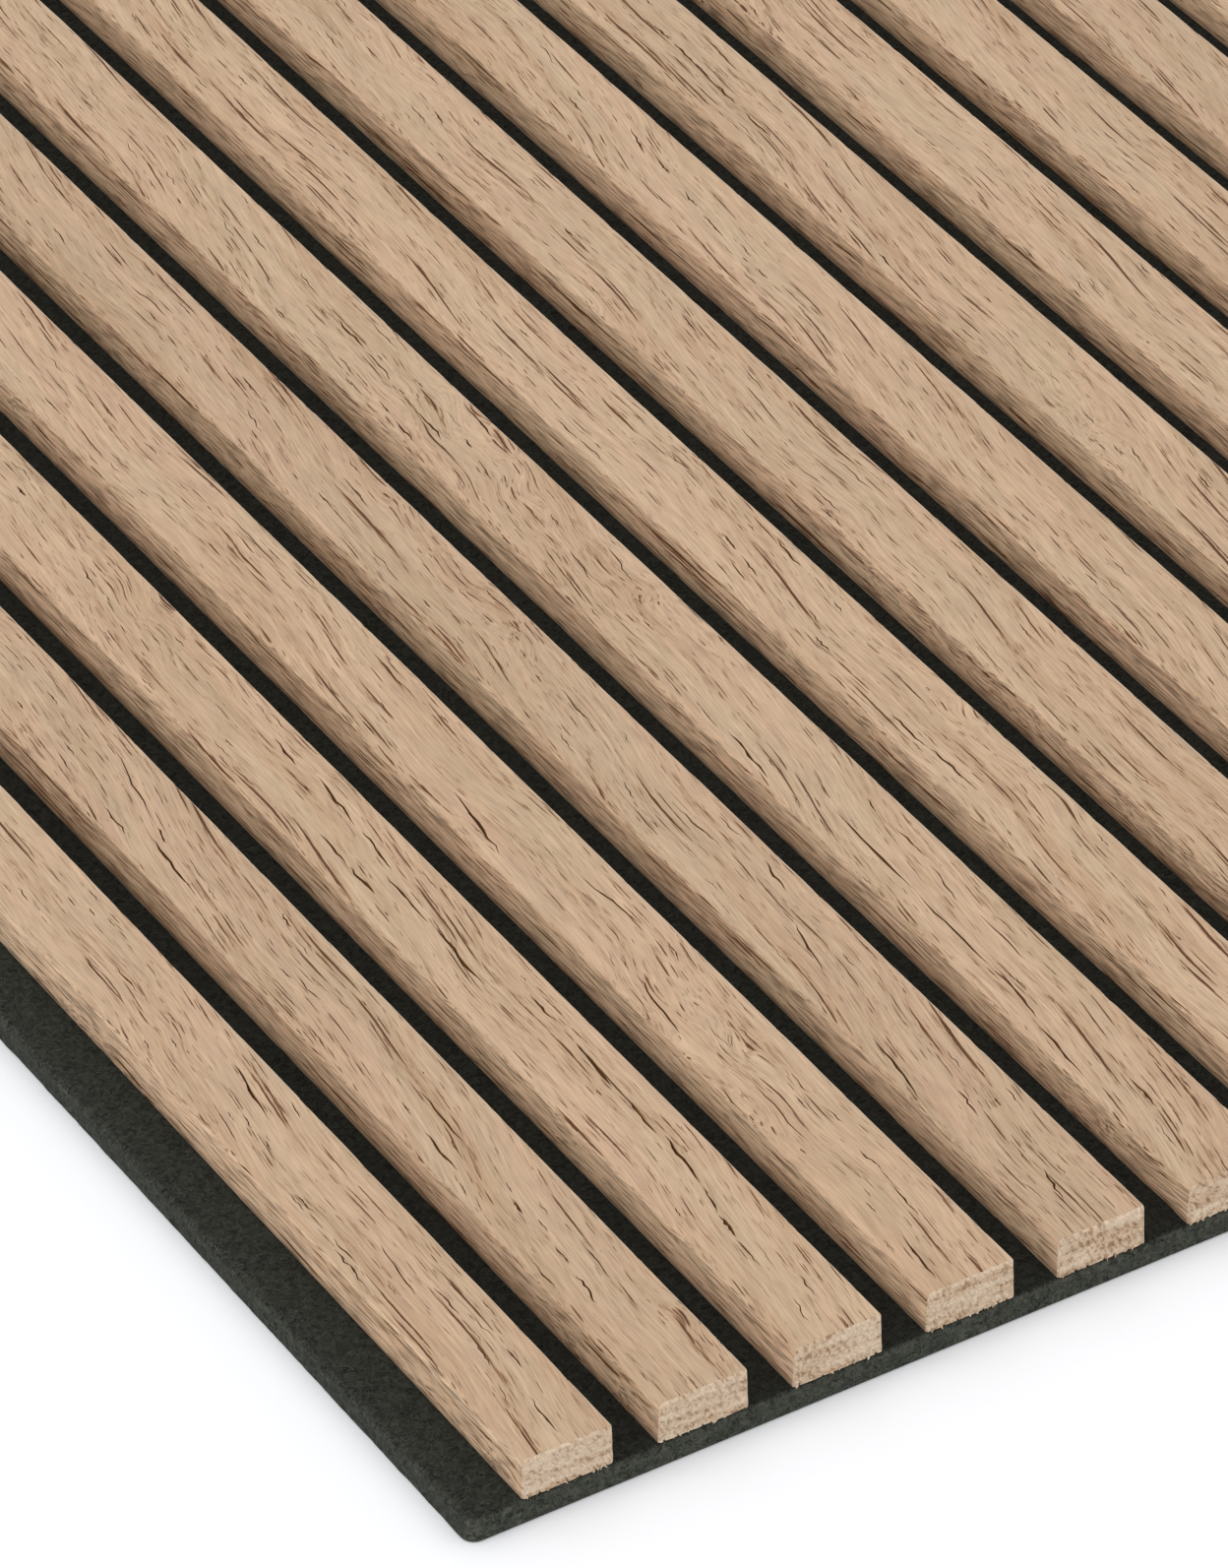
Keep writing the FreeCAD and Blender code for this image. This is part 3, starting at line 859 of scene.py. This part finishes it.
# %% slats
LEFT_WANDER, RIGHT_WANDER, RIGHT_DROP = 0.9 * MM, 0.25 * MM, 0.15 * MM
SAW_TEAR, SAW_TOOTH = 0.25 * MM, 0.42 * MM
slats = []
rng = np.random.default_rng(27)
for number, node_name in enumerate(SLATS):
    low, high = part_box(node_name)
    shift = (low.x - first_low.x, 0, 0)
    slat = copy_at(blank, "oak_" + node_name, shift)
    slat.data.materials.append(oak)
    slat.data.materials.append(crack_oak)
    displace(slat, edge_clouds, "left_edge", "X", LEFT_WANDER)
    displace(slat, edge_clouds, "right_edge", "X", -RIGHT_WANDER)
    displace(slat, edge_clouds, "right_edge", "Z", -RIGHT_DROP)
    for inwards in (1.0, -1.0):
        saw = copy_at(saw_block, "saw", shift)
        if inwards < 0:
            bpy.ops.object.mode_set(mode="EDIT")
            bpy.ops.mesh.select_all(action="SELECT")
            bpy.ops.transform.rotate(
                value=math.pi, orient_axis="Z", center_override=((low.x + high.x) / 2, 0, middle.z)
            )
            bpy.ops.object.mode_set(mode="OBJECT")
        displace(saw, tear_clouds, "teeth", "Y", inwards * SAW_TEAR)
        displace(saw, tooth_clouds, "teeth", "Y", inwards * SAW_TOOTH)
        cut_away(slat, saw)
    dark = top_cracks(rng, number, low, high) + side_cracks(rng, number, low, high)
    pale = edge_chips(rng, number, low, high) + end_notches(rng, number, low, high)
    cuts = mesh_of_copies("cuts", dark + pale, wedge_faces, [1] * len(dark) + [0] * len(pale))
    cuts.data.materials.append(oak)
    cuts.data.materials.append(crack_oak)
    cut_away(slat, cuts)
    bpy.ops.object.shade_smooth_by_angle(angle=math.radians(32))
    smooth = slat.modifiers.new("smooth", "WEIGHTED_NORMAL")
    smooth.keep_sharp = True
    apply_modifier(slat, smooth)
    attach(slat, "root")
    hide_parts(node_name)
    slats.append(slat)
bpy.data.objects.remove(blank)
bpy.data.objects.remove(saw_block)
print("slats made:", len(slats))

# %% count the slats' triangles
def triangles(piece):
    """The number of triangles in a mesh."""
    return sum(len(p.vertices) - 2 for p in piece.data.polygons)


counts = [triangles(slat) for slat in slats]
print("slat triangles:", sum(counts), "most in one:", max(counts))

# %% [markdown]
# The saw leaves a few splinters at the foot of a sawn end and down its right edge. They are the same
# wedge again, this time as wood that stands out and not as a cut.

# %% splinters
SPLINTERS_PER_END, AT_FOOT = 9, 7
SPLINTER_DEEP = 0.4 * MM
splinters = []
rng = np.random.default_rng(11)
for node_name in SLATS:
    low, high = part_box(node_name)
    for end, outward in ((low.y, -1.0), (high.y, 1.0)):
        for step in range(SPLINTERS_PER_END):
            length, width = rng.uniform(0.7, 2.0) * MM, rng.uniform(0.2, 0.6) * MM
            y = end - outward * rng.uniform(0.25, 0.5) * MM
            if step < AT_FOOT:
                x = rng.uniform(low.x + 0.6 * MM, high.x - 1.6 * MM)
                centre, run = (x, y, low.z + 0.25 * MM), (rng.normal(0, 0.35), 0, 1)
            else:
                z = rng.uniform(low.z + 1 * MM, high.z - 1 * MM)
                centre, run = (high.x - 1.0 * MM, y - outward * 0.3 * MM, z), (1, 0, rng.normal(0, 0.6))
                length *= 0.6
            outwards, seed = (0, outward, 0), 0.7 * step
            splinters.append(wedge_cut(centre, run, outwards, length, width, SPLINTER_DEEP, seed))
splinter_piece = mesh_of_copies("oak_splinters", splinters, wedge_faces, [0] * len(splinters))
splinter_piece.data.materials.append(oak)
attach(splinter_piece, "root")
print("splinters:", len(splinters))

# %% [markdown]
# ## Felt
# The backing is a board of charcoal polyester felt, needled and pressed, with its edges cut. It is paler
# on its cut faces and along the rim of the lip, partly for cut and standing fibres and partly as painted
# light, and darker between the slats, which is painted shade. To the eye it is a nearly black, faintly
# green grey with soft blotches and no shine.
# The shader mixes two sizes of noise for that, and a sheen for the fuzz that catches light at a low
# angle. Both sizes of noise are coarser than real fibres, so that they show.

# %% felt: blotches and fibres
BLOTCH, FIBRE = 1.9, 0.42
felt_low, felt_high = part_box("felt_backing")
felt, tree, shader = new_material("needled_polyester_felt")
place = add(tree, "TexCoord").outputs["Object"]
face = add(tree, "NewGeometry").outputs["True Normal"]
blotch_at = add(tree, "Mapping", {"Vector": place, "Scale": per_mm(BLOTCH, BLOTCH, BLOTCH)})
blotch = add(
    tree, "TexNoise", {"Vector": blotch_at.outputs[0], "Scale": 1.0, "Detail": 3.0, "Distortion": 1.2}
)
hair_at = add(tree, "Mapping", {"Vector": place, "Scale": per_mm(FIBRE, FIBRE, FIBRE)})
hair = add(
    tree, "TexNoise", {"Vector": hair_at.outputs[0], "Scale": 1.0, "Detail": 2.0, "Distortion": 2.0}
)
mixed = add(tree, "Math", (blotch.outputs["Fac"], hair.outputs["Fac"]), operation="ADD")
mixed = add(tree, "MapRange", (mixed.outputs[0], 0.78, 1.26, 0.0, 1.0))
grey = add(
    tree,
    "Mix",
    {"Factor": mixed.outputs["Result"], 6: colour("#12130f"), 7: colour("#42443d")},
    data_type="RGBA",
)
print("felt noise of", BLOTCH, "and", FIBRE, "mm")

# %% felt: paler cut faces and rim, partly painted light, and painted shade between the slats
END_PALE, SIDE_PALE, RIM_PALE, GAP_SHADE = 2.3, 1.15, 1.3, 0.7
up = add(tree, "SeparateXYZ", (face,))
at = add(tree, "SeparateXYZ", (place,))
# The cut faces are painted paler, partly for their cut fibres and partly as painted light; the two ends
# get the most.
end_cut = add(tree, "Math", (up.outputs["Y"],), operation="ABSOLUTE")
end_cut = add(tree, "MapRange", (end_cut.outputs[0], 0.2, 0.9, 1.0, END_PALE))
side_cut = add(tree, "Math", (up.outputs["X"],), operation="ABSOLUTE")
side_cut = add(tree, "MapRange", (side_cut.outputs[0], 0.2, 0.9, 1.0, SIDE_PALE))
cut_fibre_and_painted_light = add(tree, "Math", (end_cut.outputs[0], side_cut.outputs[0]), operation="MULTIPLY")
# The rim of the lip is painted paler, for its standing fuzz and as a painted highlight on the rounded
# edge.
rim = add(tree, "MapRange", (at.outputs["X"], felt_low.x + 0.4 * MM, felt_low.x + 3 * MM, RIM_PALE, 1.0))
# Painted shade: the felt between the slats is painted darker.
painted_gap_shade = add(tree, "MapRange", (at.outputs["X"], first_low.x - 0.5 * MM, first_low.x, 1.0, GAP_SHADE))
face_only = add(tree, "MapRange", (up.outputs["Z"], 0.5, 0.9, 0.0, 1.0))
painted_gap_shade = add(tree, "Mix", {"Factor": face_only.outputs["Result"], 2: 1.0, 3: painted_gap_shade.outputs["Result"]})
light = add(tree, "Math", (cut_fibre_and_painted_light.outputs[0], rim.outputs[0]), operation="MULTIPLY")
light = add(tree, "Math", (light.outputs[0], painted_gap_shade.outputs[0]), operation="MULTIPLY")
grey = add(tree, "VectorMath", {0: grey.outputs[2], "Scale": light.outputs[0]}, operation="SCALE")
tree.links.new(grey.outputs[0], shader.inputs["Base Color"])
print("felt ends are", END_PALE, "times as pale")

# %% felt: relief and dullness
relief = add(tree, "Bump", {"Height": mixed.outputs["Result"], "Strength": 0.75, "Distance": 0.3 * MM})
tree.links.new(relief.outputs["Normal"], shader.inputs["Normal"])
dull = add(tree, "MapRange", (hair.outputs["Fac"], 0.0, 1.0, 0.88, 1.0))
tree.links.new(dull.outputs["Result"], shader.inputs["Roughness"])
shader.inputs["Specular IOR Level"].default_value = 0.1
shader.inputs["Sheen Weight"].default_value = 0.06
shader.inputs["Sheen Roughness"].default_value = 0.5
shader.inputs["Sheen Tint"].default_value = colour("#c8cabf")
print("felt material:", felt.name)

# %% [markdown]
# The board is a cube at the felt node's size. Its four upright corners are rounded in plan, then its
# front and back rims are rounded over. It is divided along its length and pushed about a little, because
# a felt edge is never straight. On the back, the staples have drawn their crowns into the felt, so a slot
# is cut for each.

# %% felt board
FELT_CORNER, FELT_FRONT, FELT_BACK = 3.8 * MM, 1.3 * MM, 0.3 * MM
felt_middle = (felt_low + felt_high) / 2
felt_board = block("felt_board", felt_middle, felt_high - felt_low)
bpy.ops.object.mode_set(mode="EDIT")
pick("edges", lambda e: abs(e.verts[1].co.z - e.verts[0].co.z) > 1 * MM)
bpy.ops.mesh.bevel(offset=FELT_CORNER, segments=5, affect="EDGES")
for level, radius in ((felt_high.z, FELT_FRONT), (felt_low.z, FELT_BACK)):
    pick("edges", lambda e: all(abs(v.co.z - level) < 1e-6 for v in e.verts))
    bpy.ops.mesh.bevel(offset=radius, segments=4, affect="EDGES")
for inset in (4.5, 7.0, 10.0, 14.0):
    bpy.ops.mesh.select_all(action="SELECT")
    bpy.ops.mesh.bisect(plane_co=(felt_low.x + inset * MM, 0, 0), plane_no=(1, 0, 0))
for cuts in (24, 63):
    pick("edges", lambda e: along_y(e) and e.calc_length() > 5 * MM)
    bpy.ops.mesh.subdivide(number_cuts=cuts)
bpy.ops.object.mode_set(mode="OBJECT")
print("felt board:", len(felt_board.data.polygons), "faces")

# %% felt edges pushed about
LIP_WANDER, LIP_FLUFF, FOOT_LIFT, LIP_DIP = 0.3 * MM, 0.2 * MM, 0.12 * MM, 0.35 * MM
FOOT_HIGH, FOOT_WIDE = 1.1 * MM, 2 * MM


def at_foot(point):
    """True for a point low on the board and near one of its sides."""
    sides = ((point.x, felt_low.x, felt_high.x), (point.y, felt_low.y, felt_high.y))
    inner = all(low + FOOT_WIDE < value < high - FOOT_WIDE for value, low, high in sides)
    return point.z < FOOT_HIGH and not inner


bpy.ops.object.mode_set(mode="EDIT")
group("lip_edge", lambda v: v.co.x < felt_low.x + 5 * MM)
group("lip_face", lambda v: v.co.x < first_low.x - 1 * MM and v.co.z > felt_middle.z)
group("foot", lambda v: at_foot(v.co))
bpy.ops.object.mode_set(mode="OBJECT")
felt_clouds = clouds("felt_wander", 7, 2)
fluff_clouds = clouds("felt_fluff", 3, 1)
displace(felt_board, felt_clouds, "lip_edge", "X", LIP_WANDER)
displace(felt_board, fluff_clouds, "lip_edge", "X", LIP_FLUFF)
displace(felt_board, felt_clouds, "foot", "Z", FOOT_LIFT)
displace(felt_board, felt_clouds, "lip_face", "Z", -LIP_DIP)
print("felt groups:", [g.name for g in felt_board.vertex_groups])

# %% one staple slot
SLOT_FLARE, SLOT_ROUND = 1.5, 0.3
bpy.ops.object.select_all(action="DESELECT")
bpy.ops.mesh.primitive_cube_add(size=2.0)
slot_block = bpy.context.object
bpy.ops.object.mode_set(mode="EDIT")
pick("edges", lambda e: abs(e.verts[1].co.z - e.verts[0].co.z) > 1)
bpy.ops.mesh.bevel(offset=SLOT_ROUND, segments=3, affect="EDGES")
pick("verts", lambda v: v.co.z < 0)
bpy.ops.transform.resize(value=(1.0 + (SLOT_FLARE - 1) / 10, SLOT_FLARE, 1.0))
bpy.ops.object.mode_set(mode="OBJECT")
slot_points, slot_faces = points_and_faces(slot_block)
print("one slot:", len(slot_points), "points")

# %% slots cut in the felt
SLOT_SPARE, ROW_APART, CROWN_HIGH = 0.25 * MM, 20 * MM, 1.0 * MM
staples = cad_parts["staples"]
wire_points = np.array([v.co for v in staples.data.vertices])
row_order = np.sort(wire_points[:, 1])
row_breaks = np.flatnonzero(np.diff(row_order) > ROW_APART) + 1
rows = [(r.min(), r.max()) for r in np.split(row_order, row_breaks)]
slots = []
for node_name in SLATS:
    low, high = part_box(node_name)
    for row_low, row_high in rows:
        wire = wire_points[
            (wire_points[:, 0] > low.x) & (wire_points[:, 0] < high.x)
            & (wire_points[:, 1] >= row_low) & (wire_points[:, 1] <= row_high)
        ]
        crown = wire[wire[:, 2] < wire[:, 2].min() + CROWN_HIGH]
        corner_low, corner_high = crown.min(axis=0) - SLOT_SPARE, crown.max(axis=0) + SLOT_SPARE
        corner_low[2] = felt_low.z - 0.5 * MM
        slots.append((corner_low + corner_high) / 2 + slot_points * (corner_high - corner_low) / 2)
slot_cutter = mesh_of_copies("slots", slots, slot_faces, [0] * len(slots))
slot_cutter.data.materials.append(felt)
felt_board.data.materials.append(felt)
cut_away(felt_board, slot_cutter)
print("staple slots:", len(slots), "in", len(rows), "rows")

# %% finish the felt board
only(felt_board)
bpy.ops.object.shade_smooth_by_angle(angle=math.radians(40))
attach(felt_board, "root")
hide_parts("felt_backing")
print("felt board replaces felt_backing")

# %% [markdown]
# Loose fibres lie on the felt and stand off its cut rim, which makes its outline soft. They are thin
# hairs, a few millimetres long and bent. One hair is modelled as a three-sided rod, and thousands of
# copies are laid on the lip, on its rim and on the two ends, each bent its own way. They are drawn about
# three times as thick as real fibres, or they would not show.

# %% one hair
bpy.ops.object.select_all(action="DESELECT")
bpy.ops.mesh.primitive_cylinder_add(vertices=3, radius=1.0, depth=2.0, rotation=(-math.pi / 2, 0, 0))
hair_rod = bpy.context.object
bpy.ops.object.transform_apply(location=True, rotation=True, scale=True)
bpy.ops.object.mode_set(mode="EDIT")
pick("edges", along_y)
bpy.ops.mesh.subdivide(number_cuts=2)
bpy.ops.object.mode_set(mode="OBJECT")
hair_points, hair_faces = points_and_faces(hair_rod)
print("one hair:", len(hair_points), "points", len(hair_faces), "faces")

# %% fibre material
fluff, tree, shader = new_material("loose_polyester_fibre")
place = add(tree, "TexCoord").outputs["Object"]
at = add(tree, "Mapping", {"Vector": place, "Scale": per_mm(3, 3, 3)})
tint = add(tree, "TexNoise", {"Vector": at.outputs[0], "Scale": 1.0, "Detail": 1.0})
tint = add(
    tree,
    "Mix",
    {"Factor": tint.outputs["Fac"], 6: colour("#2f302b"), 7: colour("#74766d")},
    data_type="RGBA",
)
tree.links.new(tint.outputs[2], shader.inputs["Base Color"])
shader.inputs["Roughness"].default_value = 0.7
shader.inputs["Specular IOR Level"].default_value = 0.25
print("fibre material:", fluff.name)

# %% laying hairs
HAIR_THICK, HAIR_LIFT, HAIR_LOWEST = 0.045 * MM, 0.35 * MM, 0.1 * MM
HAIR_LENGTH = (0.9, 3.4)


def lay_hair(rng, root, outward):
    """One bent hair at a place on the felt, lying along the face and lifting a little off it."""
    outward = np.array(outward, float)
    along = np.cross(outward, rng.normal(size=3))
    along /= np.linalg.norm(along)
    across = np.cross(outward, along)
    length = rng.uniform(*HAIR_LENGTH) * MM
    t = hair_points[:, 1]
    bend = rng.normal(0, 0.3) * length
    lift = rng.uniform(0.0, HAIR_LIFT)
    thick = HAIR_THICK * rng.uniform(0.6, 1.2)
    points = (
        np.array(root)
        + (t * length / 2)[:, None] * along
        + (bend * t * t + thick * hair_points[:, 0])[:, None] * across
        + (0.02 * MM + lift * (t * 0.5 + 0.5) ** 2 + thick * hair_points[:, 2])[:, None] * outward
    )
    points[:, 2] += max(0.0, felt_low.z + HAIR_LOWEST - points[:, 2].min())
    return points


def lip_hairs(rng, amount):
    """Hairs on the bare lip, along its rim and down its side."""
    made = []
    for k in range(amount):
        y = rng.uniform(felt_low.y + 3 * MM, felt_high.y - 3 * MM)
        if k % 4 == 0:
            x = rng.uniform(felt_low.x + 1.5 * MM, first_low.x - 1.5 * MM)
            made.append(lay_hair(rng, (x, y, felt_high.z - 0.2 * MM), (0, 0, 1)))
        elif k % 4 < 3:
            slip = rng.uniform(0.2, 1.0)
            root = (felt_low.x + (1.5 - 1.1 * slip) * MM, y, felt_high.z - (0.1 + 0.9 * slip) * MM)
            made.append(lay_hair(rng, root, (-0.7, 0, 0.7)))
        else:
            z = rng.uniform(felt_low.z + 1.2 * MM, felt_high.z - 1.2 * MM)
            made.append(lay_hair(rng, (felt_low.x + 0.35 * MM, y, z), (-1, 0, 0.0)))
    return made


def end_hairs(rng, amount):
    """Hairs on the cut faces at the two ends."""
    made = []
    for k in range(amount):
        side = -1.0 if k % 2 else 1.0
        x = rng.uniform(felt_low.x + 3 * MM, felt_high.x - 3 * MM)
        z = rng.uniform(felt_low.z + 1.5 * MM, felt_high.z - 1.0 * MM)
        y = felt_high.y if side > 0 else felt_low.y
        made.append(lay_hair(rng, (x, y, z), (0, side, 0)))
    return made


print("a hair is up to", HAIR_LENGTH[1], "mm long")

# %% fibres on the lip and the ends
LIP_HAIRS, END_HAIRS = 9600, 3000
rng = np.random.default_rng(5)
laid = {"felt_lip_fibres": lip_hairs(rng, LIP_HAIRS), "felt_end_fibres": end_hairs(rng, END_HAIRS)}
for name, hairs in laid.items():
    fibres = mesh_of_copies(name, hairs, hair_faces, [0] * len(hairs))
    fibres.data.materials.append(fluff)
    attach(fibres, "root")
    print(name, triangles(fibres), "triangles")

# %% [markdown]
# ## Staples
# The staples are galvanised fine wire, drawn and bent. Their CAD solids are right as they are, so they
# only get a finish: bright zinc grey with a faint cloudiness along the wire.

# %% staples
zinc, tree, shader = new_material("galvanised_steel_wire")
place = add(tree, "TexCoord").outputs["Object"]
at = add(tree, "Mapping", {"Vector": place, "Scale": per_mm(1.5, 0.6, 1.5)})
cloudy = add(tree, "TexNoise", {"Vector": at.outputs[0], "Scale": 1.0, "Detail": 2.0})
zinc_tone = add(
    tree,
    "Mix",
    {"Factor": cloudy.outputs["Fac"], 6: colour("#9fa3a6"), 7: colour("#d2d5d6")},
    data_type="RGBA",
)
tree.links.new(zinc_tone.outputs[2], shader.inputs["Base Color"])
dull = add(tree, "MapRange", (cloudy.outputs["Fac"], 0.0, 1.0, 0.28, 0.5))
tree.links.new(dull.outputs["Result"], shader.inputs["Roughness"])
shader.inputs["Metallic"].default_value = 1.0
staples.data.materials.clear()
staples.data.materials.append(zinc)
print("staples carry", zinc.name)
